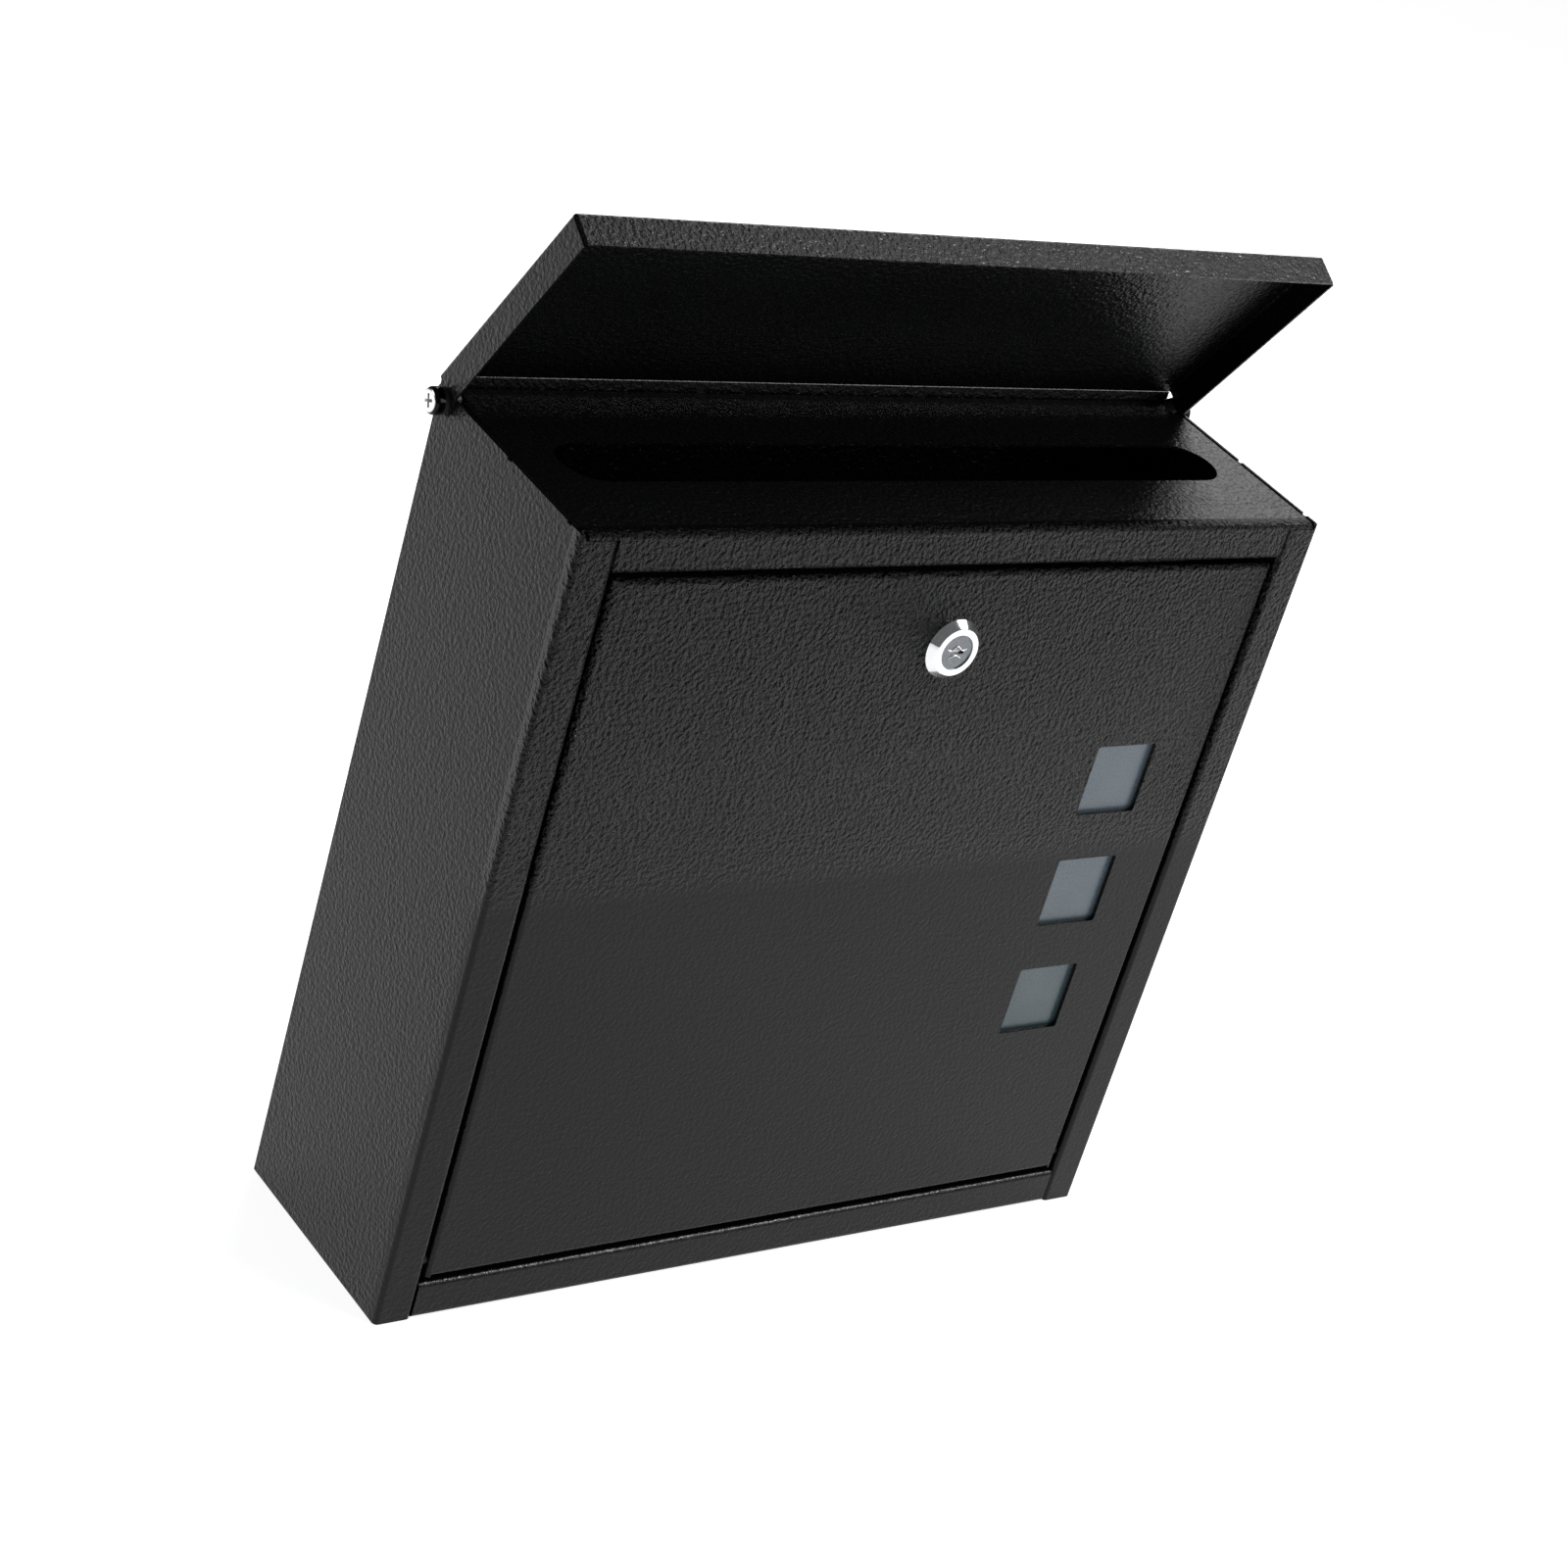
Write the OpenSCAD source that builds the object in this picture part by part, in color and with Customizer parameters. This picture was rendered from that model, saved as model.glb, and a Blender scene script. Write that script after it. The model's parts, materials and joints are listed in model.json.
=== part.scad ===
// Wall mounted mailbox of folded, powder-coated steel sheet.
// A sloping roof with a mail slot sits under a hinged rain lid, and a drop-down front door
// with three small windows and a cam lock empties the box.
// +X is to the right as you face the front, +Y goes into the wall and +Z is up.
// The origin is the middle of the four wall holes, on the back face. All sizes are in millimetres.

/* [Housing] */
// Width over the two side panels
body_w = 310; // [260:1:380]
// Depth from the wall to the front strips
body_d = 89; // [74:1:130]
// Height of the front, from the bottom to the roof's front edge
front_h = 288.5; // [235:0.5:380]
// How much higher the roof is at the wall than at the front
roof_rise = 7.5; // [3:0.5:14]
// Thickness of the steel sheet of the housing and the door
sheet = 1; // [0.8:0.1:1.3]
// Inside radius of every fold
fold_in = 0.8; // [0.5:0.1:1.2]
// Gap left in a seam between two welded panels
seam = 0.15; // [0.1:0.05:0.3]
// Height of the flanges that the panels are welded by
weld_flange = 12; // [8:1:16]
// Distance from the wall to the rear notch in each side's top edge
notch_rear = 45; // [40:1:60]
// Distance from the front to the front notch in each side's top edge
notch_front = 7.5; // [7:0.5:24]
// Width of those notches
notch_w = 2.5; // [2:0.5:4]
// Depth of those notches
notch_h = 0.7; // [0.5:0.1:1.2]

/* [Front frame] */
// Width of the strips at the left and right of the door
side_strip = 14; // [11:0.5:20]
// Height of the strip above the door
top_strip = 13; // [11:0.5:20]
// Height of the strip below the door
bottom_strip = 14; // [11:0.5:20]
// Gap at the left end of the strips above and below the door
strip_gap_left = 0.15; // [0.1:0.05:0.8]
// Gap at the right end of those strips
strip_gap_right = 0.7; // [0.1:0.05:0.9]
// Depth of the jambs folded in beside the door
jamb_depth = 12; // [10:0.5:16]
// Depth of the lips folded in above and below the door
lip_depth = 10; // [7:0.5:10]

/* [Mail slot] */
// Distance from the side of the box to the end of the slot
slot_margin = 17; // [16:0.5:40]
// Width of the slot, front to back
slot_w = 24.5; // [16:0.5:28]
// Distance along the roof from its front edge to the slot's centre line
slot_from_front = 43; // [30:0.5:46]

/* [Lid] */
// Thickness of the lid's sheet
lid_sheet = 0.8; // [0.6:0.1:1]
// Gap between a side panel and the lid's ear
lid_side_gap = 0.5; // [0.4:0.1:1]
// How far the lid's front edge stands past the front of the box
lid_overhang = 5.4; // [4.5:0.1:9]
// Height of the lid's top face above its hinge axis
lid_rise = 7.9; // [7.9:0.1:9]
// How far the lid's flanges hang below the hinge axis
lid_drop = 3.6; // [3:0.1:4.5]
// Distance from the hinge axis to the rear edge of the lid's top face
lid_rear = 2.9; // [2.9:0.1:6]
// Angle at which the lid is propped open, above horizontal
lid_open = 56.6; // [30:0.2:70]
// Gap between the open lid's rear edge and the top of the back, which stops the lid
stop_gap = 0.2; // [0.2:0.1:1]
// Distance of the lid's hinge axis from the wall
hinge_from_wall = 5.2; // [5.2:0.1:7]
// Depth of the lid's hinge axis below the top of the back
hinge_below_top = 3; // [2.8:0.1:4.5]
// Radius of the hinge ears on the side panels
ear_r = 5; // [4.5:0.1:5.1]
// Radius of the ears on the lid
lid_ear_r = 5.2; // [5:0.1:5.2]
// Diameter of the hinge screws
screw_d = 4; // [3:0.5:4]
// Diameter of the hinge screws' pan heads
screw_head_d = 9; // [7:0.1:9.4]
// Height of the hinge screws' heads
screw_head_h = 3.5; // [2.4:0.1:3.8]
// Thickness of the washer under each head
washer_t = 1.5; // [0.5:0.1:1.8]
// Diameter of the washer under each head
washer_d = 8.6; // [8:0.1:9.4]
// Width across the flats of the hinge nuts
nut_flats = 7; // [5.5:0.5:7]
// Thickness of the hinge nuts
nut_t = 2.2; // [1.8:0.1:2.4]
// Width of the notch that the roof and the back leave for each hinge nut
hinge_notch = 5; // [4.8:0.1:8]

/* [Door] */
// Gap at the left, right and bottom of the door
door_gap = 2; // [1.5:0.1:2.5]
// Gap above the door
door_top_gap = 2.5; // [1.5:0.1:3]
// How far the door's face sits behind the front strips
door_recess = 0.5; // [0.3:0.1:1.5]
// Depth of the door's folded edges
door_return = 10; // [8:0.1:10.4]
// Depth of the door's hinge axis behind its face
door_axis_in = 4; // [3.8:0.1:4.4]
// Height of the door's hinge axis above its bottom edge
door_axis_up = 6; // [5.8:0.1:8]
// Diameter of the door's hinge pins
pin_d = 3; // [2.5:0.1:3.2]
// Diameter of the collars and rivet heads of the hinge pins
pin_collar_d = 5.2; // [4.6:0.1:5.2]

/* [Windows] */
// Side of each square window
window_size = 27.5; // [20:0.5:33]
// Distance from one window to the next
window_pitch = 46; // [42:0.5:52]
// Number of windows
window_count = 3; // [1:1:4]
// Distance from the door's right edge to the windows' centre line
window_from_side = 39; // [32:0.5:60]
// Height of the middle of the row above the door's bottom edge
window_mid = 127.5; // [110:0.5:140]
// Corner radius of the windows
window_corner = 1; // [0.5:0.1:3]
// How far the pane reaches past the windows all round
pane_margin = 6; // [4:0.5:7]
// Thickness of the pane
pane_t = 2; // [1:0.1:3]
// Thickness of the foam tape that holds the pane
tape_t = 1; // [0.5:0.1:1.5]

/* [Lock] */
// Depth of the lock's centre below the door's top edge
lock_below_top = 27.5; // [18:0.5:30]
// Distance of the lock's centre to the right of the door's middle
lock_x = 2.5; // [-20:0.5:20]
// Diameter of the lock's bezel
bezel_d = 21.5; // [20.5:0.1:24]
// Height of the bezel in front of the door
bezel_h = 3.3; // [2.5:0.1:4]
// Diameter of the bezel's front rim
rim_d = 17; // [15.5:0.1:19]
// Diameter of the threaded barrel
barrel_d = 18; // [16:0.5:19]
// Distance between the barrel's two flats
barrel_flats = 16; // [14.5:0.5:17]
// Length of the barrel behind the door's face
barrel_len = 11; // [10.6:0.1:14]
// Diameter of the key plug inside the barrel
plug_d = 11.2; // [9.6:0.1:11.6]
// Diameter of the key plug's face
plug_face_d = 12.6; // [12.2:0.1:13.6]
// Thickness of the lock's hexagon nut
lock_nut_t = 4; // [3:0.5:4]
// Width across the flats of the lock's nut
lock_nut_flats = 22; // [21:0.5:24]
// Thickness of the toothed washer under the lock's nut
lock_washer_t = 1.5; // [0.5:0.1:1.8]
// Length of the cam, from the lock's axis to its tip
cam_len = 33; // [29:0.5:36]
// Width of the cam
cam_w = 14; // [12:0.5:18]
// Thickness of the cam
cam_t = 2; // [1.5:0.1:2.5]
// Side of the square that drives the cam
cam_square = 7; // [6:0.1:8]
// Width of the keyway
key_w = 6.2; // [5:0.1:7]
// Height of the keyway
key_h = 1.5; // [1.2:0.1:2]

/* [Wall fixing] */
// Distance between the wall holes, left to right
wall_hole_x = 240; // [160:1:240]
// Distance between the wall holes, bottom to top
wall_hole_z = 200; // [120:1:200]
// Diameter of the wall holes
wall_hole_d = 7; // [5:0.1:9]

/* [Hidden] */

// Facets of everything round
$fn = 64;

// Clearance of a pin in its bore
running = 0.05;
// Clearance of a loose fit
play = 0.1;
// How far a cut runs past the face that it cuts
past = 1;
// How far a fold runs on into the flats beside it
join = 0.05;

black = [0.09, 0.095, 0.1];
chrome = [0.8, 0.81, 0.82];
zinc = [0.62, 0.63, 0.64];

// Folds, and the housing that is welded from them
fold_out = fold_in + sheet;
back_h = front_h + roof_rise;
bottom_z = -back_h / 2;
roof_angle = atan(roof_rise / body_d);
inner_half = body_w / 2 - sheet - seam;
opening_half = body_w / 2 - side_strip;
opening_top = front_h - top_strip;
strip_half = opening_half - (strip_gap_left + strip_gap_right) / 2;
strip_shift = (strip_gap_left - strip_gap_right) / 2;
roof_front_tangent = fold_out * (1 - sin(roof_angle)) / cos(roof_angle);
roof_rear_tangent = (body_d - sheet - fold_out * (1 + sin(roof_angle))) / cos(roof_angle);
// Gap between the roof's front fold and its side folds
corner_relief = 0.8;
// Gap between the end of a flange and the flange across its corner
weld_gap = 4;
// Gap between the end of a fold and the flat tab beyond it
relief_gap = 1;
// Height of the top of the back's side folds below the lid's hinge axis
relief_below_hinge = 8;
// Room that the roof leaves in front of the lid's hinge axis for the nut
nut_room = 6;

// Lid and its hinge
lid_fold_out = fold_in + lid_sheet;
hinge_z = back_h - hinge_below_top;
lid_len = body_d - hinge_from_wall + lid_overhang;
lid_half = body_w / 2 + lid_side_gap + lid_sheet;
// Height of the open lid's rear edge above the hinge axis
open_edge = lid_rear * sin(lid_open) + (lid_rise - lid_sheet) * cos(lid_open);
// How far the back stands up behind the roof
back_stand = open_edge - stop_gap - hinge_below_top;
// How far the lid's ears are centred in front of the hinge axis
lid_ear_forward = 0.5;
// Radius of the fillet between an ear and the lid's side flange
lid_ear_fillet = 4;
// Gap at the lid's front corners
lid_corner_gap = 1.2;
// Width of the cross recess in the hinge screws' heads
screw_cross = 4.4;
// How far the hinge screws stand out of their nuts
screw_past_nut = 0.8;
// Share of a pan head's height that its edge rounds over
head_rounding = 0.48;
// Share of a cross recess that each of its arms is wide
cross_arm = 2 / 9;
// How far each cross recess is turned
cross_turn = 20;

// Door and its hinge
door_half = opening_half - door_gap;
door_bottom = bottom_strip + door_gap;
door_top = opening_top - door_top_gap;
door_face = door_recess - body_d;
door_axis_y = door_face + door_axis_in;
door_axis_z = door_bottom + door_axis_up;
// Side play of the door between the hinge pins' collars
pin_side_play = 0.2;
// Thickness of the rivet heads behind the jambs
rivet_t = 1;
// How far the hinge pins stand out of their retaining washers
pin_past_clip = 0.6;
clip_t = 0.8;
clip_clearance = 0.2;
clip_d = 2 * (door_axis_in - sheet - clip_clearance);
clip_x = fold_out - door_half;

// Windows
window_x = door_half - window_from_side;
window_z = door_bottom + window_mid;
// Corner radius of the pane and its tape
pane_corner = 2;
// How far the tape stays back from the edge of each window
tape_setback = 0.5;

// Lock
lock_z = door_top - lock_below_top;
plug_back = barrel_len + play;
// Depth of the plug's face behind the bezel's rim
plug_face = 0.5;
// Thickness of the plug's face flange
flange_t = 1;
// Height of the bezel's straight edge on the door
bezel_edge = 0.6;
// Bevel of the bezel's front rim
rim_bevel = 0.3;
// Width of the toothed washer's ring
lock_washer_ring = 2.5;
// Width of the part of that ring that stays whole inside the teeth
lock_washer_root = 1.7;
lock_teeth = 12;
tooth_gap = 1;

// Wafers in the plug, and the dust shutter in front of them
wafer_count = 5;
wafer_t = 0.6;
wafer_w = 5;
wafer_pitch = 1.6;
wafer_start = 2.4;
// How much shorter than the plug's diameter the wafers are
wafer_short = 1.6;
// How much narrower than the keyway the first wafer's window is
wafer_window = 1.4;
// How much wider each next wafer's window is
wafer_step = 0.4;
// Clearance of the keyway inside a wafer's window, above and below
wafer_clear = 0.2;
shutter_depth = 1.1;
shutter_t = 0.5;
// Height of the slot that the shutter slides in
shutter_slot_h = key_h + 0.8;

// Cam fixing
cam_screw_d = 4;
cam_screw_len = 3;
// How much deeper than the screw its hole in the plug is
screw_hole_spare = 0.3;
cam_head_d = 7.6;
cam_head_h = 2.6;
cam_cross = 4;
cam_washer_t = 0.8;
cam_washer_d = 11;

// ---------- shared shapes ----------

// Lifts a shape from heights above the box's bottom to the part's own frame.
module from_bottom() {
  translate([0, 0, bottom_z]) children();
}

// A flat section drawn as (depth, height), run along X over both halves of the width.
module along_x(half_w) {
  translate([-half_w, 0, 0]) rotate([90, 0, 90]) linear_extrude(2 * half_w) children();
}

// A section of one fold: a quarter of a ring, in the quadrant of -x and -y.
// It runs on by a hair at both ends, so that it joins the flats.
module fold_section(thick = sheet) {
  outer = fold_in + thick;
  intersection() {
    difference() {
      circle(r = outer);
      circle(r = fold_in);
    }
    translate([-outer, -outer]) square(outer);
  }
  translate([-outer, -join]) square([thick, 2 * join]);
  translate([-join, -outer]) square([2 * join, thick]);
}

// The same fold in another quadrant: sx and sy are 1 or -1.
module fold_at(x, y, sx, sy, thick = sheet) {
  translate([x, y]) mirror([sx > 0 ? 1 : 0, 0]) mirror([0, sy > 0 ? 1 : 0]) fold_section(thick);
}

// One child on the left and its mirror image on the right.
module both_sides() {
  children();
  mirror([1, 0, 0]) children();
}

// A square with round corners.
module rounded_square(w, h, r) {
  translate([-w / 2 + r, -h / 2]) square([w - 2 * r, h]);
  translate([-w / 2, -h / 2 + r]) square([w, h - 2 * r]);
  for (sx = [-1, 1]) {
    for (sz = [-1, 1]) {
      translate([sx * (w / 2 - r), sz * (h / 2 - r)]) circle(r = r);
    }
  }
}

// A flat ring round the X axis, from x to x + thick.
module ring_x(x, thick, outer_d, bore_d) {
  translate([x, 0, 0]) rotate([0, 90, 0]) difference() {
    cylinder(h = thick, d = outer_d);
    translate([0, 0, -past]) cylinder(h = thick + 2 * past, d = bore_d);
  }
}

// A round cut along X, through a wall from x = 0 to x = thick.
module cut_x(thick, d) {
  translate([-past, 0, 0]) rotate([0, 90, 0]) cylinder(h = thick + 2 * past, d = d);
}

// A pan head with a cross recess: it stands on z = 0 and its top faces +z.
module pan_head(d, h, recess) {
  round_r = head_rounding * h;
  arm = cross_arm * recess;
  difference() {
    rotate_extrude() {
      square([d / 2, h - round_r]);
      square([d / 2 - round_r, h]);
      translate([d / 2 - round_r, h - round_r]) intersection() {
        circle(r = round_r);
        square(round_r);
      }
    }
    for (turn = [cross_turn, cross_turn + 90]) {
      rotate([0, 0, turn]) translate([-recess / 2, -arm / 2, h / 2]) cube([recess, arm, h]);
    }
  }
}

// ---------- housing ----------

// Height of the roof's outer face at a depth y.
function roof_z(y) = front_h + (y + body_d) * tan(roof_angle);

// Centre of the roof's front fold.
function front_fold() = [fold_out - body_d, roof_z(fold_out - body_d) - fold_out / cos(roof_angle)];

// Centre of the roof's rear fold.
function rear_fold() = [-sheet - fold_out, roof_z(-sheet - fold_out) - fold_out / cos(roof_angle)];

// Direction out of the roof, as (depth, height).
function roof_normal() = [-sin(roof_angle), cos(roof_angle)];

// The side of the box as (depth, height), with the round front edge of the roof.
module side_outline() {
  polygon([
    [-body_d, 0],
    [0, 0],
    [0, back_h],
    front_fold() + fold_out * roof_normal(),
    front_fold(),
    [-body_d, front_fold()[1]]
  ]);
  translate(front_fold()) circle(r = fold_out);
}

// The left side panel with x = 0 on its outer face: web, front strip and jamb.
module side_panel() {
  strip_top = front_h - fold_out - seam;
  ear = [-hinge_from_wall, hinge_z];
  difference() {
    union() {
      intersection() {
        union() {
          translate([0, fold_out - body_d, 0]) cube([sheet, body_d - fold_out, back_h]);
          linear_extrude(back_h) fold_at(fold_out, fold_out - body_d, -1, -1);
        }
        rotate([90, 0, 90]) linear_extrude(fold_out) side_outline();
      }
      rotate([90, 0, 90]) linear_extrude(sheet) translate(ear) circle(r = ear_r);
      translate([fold_out, -body_d, 0]) cube([side_strip - 2 * fold_out, sheet, strip_top]);
      linear_extrude(strip_top) fold_at(side_strip - fold_out, fold_out - body_d, 1, -1);
      translate([side_strip - sheet, fold_out - body_d, sheet + seam]) {
        cube([sheet, jamb_depth - fold_out, strip_top - sheet - seam]);
      }
    }
    for (d = [notch_rear, body_d - notch_front]) {
      translate([-past, -d - notch_w / 2, roof_z(-d) - notch_h]) {
        cube([sheet + 2 * past, notch_w, 2 * notch_h]);
      }
    }
    translate([0, -hinge_from_wall, hinge_z]) cut_x(sheet, screw_d + 2 * play);
    translate([side_strip - sheet, door_axis_y, door_axis_z]) cut_x(sheet, pin_d);
  }
}

module left_side_panel() {
  color(black) from_bottom() translate([-body_w / 2, 0, 0]) side_panel();
}

module right_side_panel() {
  color(black) from_bottom() mirror([1, 0, 0]) translate([-body_w / 2, 0, 0]) side_panel();
}

// The side folds end below the lid's hinge. Above them the sheet is flat, and at the top it
// runs over the side panels' edges, where it stops the open lid.
module back_panel() {
  relief_z = hinge_z - relief_below_hinge;
  flange_z = weld_flange + weld_gap;
  flat_half = inner_half - fold_out;
  tab_z = relief_z + relief_gap;
  color(black) from_bottom() difference() {
    union() {
      translate([-flat_half, -sheet, 0]) cube([2 * flat_half, sheet, back_h + back_stand]);
      translate([-inner_half, -sheet, tab_z]) cube([2 * inner_half, sheet, back_h + back_stand - tab_z]);
      translate([-body_w / 2, -sheet, back_h + seam]) cube([body_w, sheet, back_stand - seam]);
      both_sides() {
        linear_extrude(relief_z) fold_at(fold_out - inner_half, -fold_out, -1, 1);
        translate([-inner_half, -weld_flange - fold_out, flange_z]) {
          cube([sheet, weld_flange, relief_z - relief_gap - flange_z]);
        }
      }
    }
    for (sx = [-1, 1]) {
      for (sz = [-1, 1]) {
        translate([sx * wall_hole_x / 2, past, back_h / 2 + sz * wall_hole_z / 2]) rotate([90, 0, 0]) {
          cylinder(h = sheet + 2 * past, d = wall_hole_d);
        }
      }
    }
  }
}

// The roof's side folds and side flanges, with y along the slope and z out of the roof.
module roof_sides() {
  start = roof_front_tangent + corner_relief;
  flat_len = roof_rear_tangent - start;
  both_sides() {
    translate([0, start + flat_len, 0]) rotate([90, 0, 0]) {
      linear_extrude(flat_len) fold_at(fold_out - inner_half, -fold_out, -1, 1);
    }
    translate([-inner_half, start, -weld_flange]) {
      cube([sheet, flat_len - weld_flange, weld_flange - fold_out]);
    }
  }
}

// All that is within r of the line between the roof's two folds, as (depth, height).
module roof_block_section(r) {
  front = front_fold();
  rear = rear_fold();
  polygon([front, front + r * roof_normal(), rear + r * roof_normal(), rear]);
  translate(front) circle(r = r);
  translate(rear) circle(r = r);
}

// The roof from the top of its front strip to the top of its rear flange.
module roof_section() {
  front = front_fold();
  rear = rear_fold();
  intersection() {
    difference() {
      roof_block_section(fold_out);
      roof_block_section(fold_in);
    }
    polygon([
      [-2 * body_d, front[1]],
      front,
      rear,
      [body_d, rear[1]],
      [body_d, 2 * back_h],
      [-2 * body_d, 2 * back_h]
    ]);
  }
  translate([-2 * sheet, rear[1] - weld_flange]) square([sheet, weld_flange]);
}

module front_strip_section() {
  translate([-body_d, opening_top + fold_out]) square([sheet, front_fold()[1] - opening_top - fold_out]);
  fold_at(fold_out - body_d, opening_top + fold_out, -1, -1);
  translate([fold_out - body_d, opening_top]) square([lip_depth - fold_out, sheet]);
}

module roof_panel() {
  slot_half = body_w / 2 - slot_margin - slot_w / 2;
  color(black) from_bottom() difference() {
    union() {
      translate([0, -body_d, front_h]) rotate([roof_angle, 0, 0]) roof_sides();
      along_x(inner_half - fold_out) roof_section();
      translate([strip_shift, 0, 0]) along_x(strip_half) front_strip_section();
    }
    translate([0, -body_d, front_h]) rotate([roof_angle, 0, 0]) translate([0, slot_from_front, -2 * sheet]) {
      linear_extrude(3 * sheet) {
        square([2 * slot_half, slot_w], center = true);
        for (sx = [-1, 1]) {
          translate([sx * slot_half, 0]) circle(d = slot_w);
        }
      }
    }
    both_sides() {
      translate([-body_w / 2, -hinge_from_wall - nut_room, back_h - weld_flange - weld_gap]) {
        cube([hinge_notch, hinge_from_wall + nut_room + past, weld_flange + 2 * weld_gap]);
      }
    }
  }
}

module bottom_strip_section() {
  translate([fold_out - body_d, 0]) square([2 * fold_out, sheet]);
  fold_at(fold_out - body_d, fold_out, -1, -1);
  translate([-body_d, fold_out]) square([sheet, bottom_strip - 2 * fold_out]);
  fold_at(fold_out - body_d, bottom_strip - fold_out, -1, 1);
  translate([fold_out - body_d, bottom_strip - sheet]) square([lip_depth - fold_out, sheet]);
}

module bottom_rear_section() {
  fold_at(-sheet - fold_out, fold_out, 1, -1);
  translate([-2 * sheet, fold_out]) square([sheet, weld_flange - fold_out]);
}

module bottom_panel() {
  front_edge = fold_out + seam - body_d;
  rear_edge = -sheet - fold_out;
  side_len = rear_edge - weld_flange - front_edge;
  flat_half = inner_half - fold_out;
  color(black) from_bottom() {
    translate([-flat_half, front_edge, 0]) cube([2 * flat_half, rear_edge - front_edge, sheet]);
    translate([strip_shift, 0, 0]) along_x(strip_half) bottom_strip_section();
    along_x(flat_half) bottom_rear_section();
    both_sides() {
      translate([0, front_edge + side_len, 0]) rotate([90, 0, 0]) {
        linear_extrude(side_len) fold_at(fold_out - inner_half, fold_out, -1, -1);
      }
      translate([-inner_half, front_edge, fold_out]) cube([sheet, side_len, weld_flange - fold_out]);
    }
  }
}

// ---------- lid ----------

// Moves a lid drawn flat, with its hinge axis on the X axis, to the hinge and props it open.
module on_lid_hinge() {
  from_bottom() translate([0, -hinge_from_wall, hinge_z]) rotate([-lid_open, 0, 0]) children();
}

// One side flange of the lid as (depth, height), with its ear and the fillet between them.
module lid_side_section() {
  ear = [-lid_ear_forward, 0];
  flange_end = lid_corner_gap - lid_len;
  fillet_z = -lid_drop - lid_ear_fillet;
  fillet_y = -lid_ear_forward - sqrt(pow(lid_ear_r + lid_ear_fillet, 2) - pow(fillet_z, 2));
  translate([flange_end, -lid_drop]) square([-lid_rear - flange_end, lid_drop + lid_rise - lid_fold_out]);
  translate(ear) circle(r = lid_ear_r);
  difference() {
    polygon([ear, [fillet_y, -lid_drop], [fillet_y, fillet_z]]);
    translate([fillet_y, fillet_z]) circle(r = lid_ear_fillet);
  }
}

module lid_front_section() {
  fold_at(lid_fold_out - lid_len, lid_rise - lid_fold_out, -1, 1, lid_sheet);
  translate([-lid_len, -lid_drop]) square([lid_sheet, lid_drop + lid_rise - lid_fold_out]);
}

module lid() {
  top_half = lid_half - lid_fold_out;
  side_fold_len = lid_len - lid_rear - lid_corner_gap;
  color(black) on_lid_hinge() difference() {
    union() {
      translate([-top_half, lid_fold_out - lid_len, lid_rise - lid_sheet]) {
        cube([2 * top_half, lid_len - lid_fold_out - lid_rear, lid_sheet]);
      }
      along_x(lid_half - lid_corner_gap) lid_front_section();
      both_sides() {
        translate([-lid_half, 0, 0]) rotate([90, 0, 90]) linear_extrude(lid_sheet) lid_side_section();
        translate([0, -lid_rear, 0]) rotate([90, 0, 0]) {
          linear_extrude(side_fold_len) fold_at(-top_half, lid_rise - lid_fold_out, -1, 1, lid_sheet);
        }
      }
    }
    translate([-lid_half, 0, 0]) cut_x(2 * lid_half, screw_d + 2 * running);
  }
}

// ---------- lid hinge hardware ----------

// Places a piece that is drawn for the left side, with the hinge axis on X, at both lid hinges.
module at_lid_hinges() {
  from_bottom() translate([0, -hinge_from_wall, hinge_z]) both_sides() children();
}

module lid_hinge_screws() {
  head_x = lid_half + running + washer_t;
  tip_x = body_w / 2 - sheet - nut_t - screw_past_nut;
  color(chrome) at_lid_hinges() {
    translate([-head_x, 0, 0]) rotate([0, -90, 0]) pan_head(screw_head_d, screw_head_h, screw_cross);
    translate([-head_x, 0, 0]) rotate([0, 90, 0]) cylinder(h = head_x - tip_x, d = screw_d);
  }
}

module lid_hinge_washers() {
  color([0.05, 0.05, 0.05]) at_lid_hinges() {
    ring_x(-lid_half - running - washer_t, washer_t, washer_d, screw_d);
  }
}

module lid_hinge_spacers() {
  color([0.85, 0.85, 0.82]) at_lid_hinges() {
    ring_x(-body_w / 2 - lid_side_gap + running, lid_side_gap - running, washer_d, screw_d);
  }
}

module lid_hinge_nuts() {
  color(zinc) at_lid_hinges() translate([sheet - body_w / 2, 0, 0]) rotate([0, 90, 0]) difference() {
    cylinder(h = nut_t, d = nut_flats / cos(30), $fn = 6);
    translate([0, 0, -past]) cylinder(h = nut_t + 2 * past, d = screw_d);
  }
}

// ---------- door ----------

// The door's outline as (depth, height) sections of its top and bottom folds.
module door_edge_sections() {
  fold_at(door_face + fold_out, door_top - fold_out, -1, 1);
  translate([door_face + fold_out, door_top - sheet]) square([door_return - fold_out, sheet]);
  fold_at(door_face + fold_out, door_bottom + fold_out, -1, -1);
  translate([door_face + fold_out, door_bottom]) square([door_return - fold_out, sheet]);
}

// Heights of the windows' centres above the box's bottom.
function window_heights() =
  [for (i = [0 : window_count - 1]) window_z + (i - (window_count - 1) / 2) * window_pitch];

module lock_hole_section(clear) {
  intersection() {
    circle(d = barrel_d + clear);
    square([barrel_flats + clear, 2 * barrel_d], center = true);
  }
}

// Turns a section drawn as (x, height) to run along +Y from y.
module along_y(y, len) {
  translate([0, y + len, 0]) rotate([90, 0, 0]) linear_extrude(len) children();
}

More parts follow.
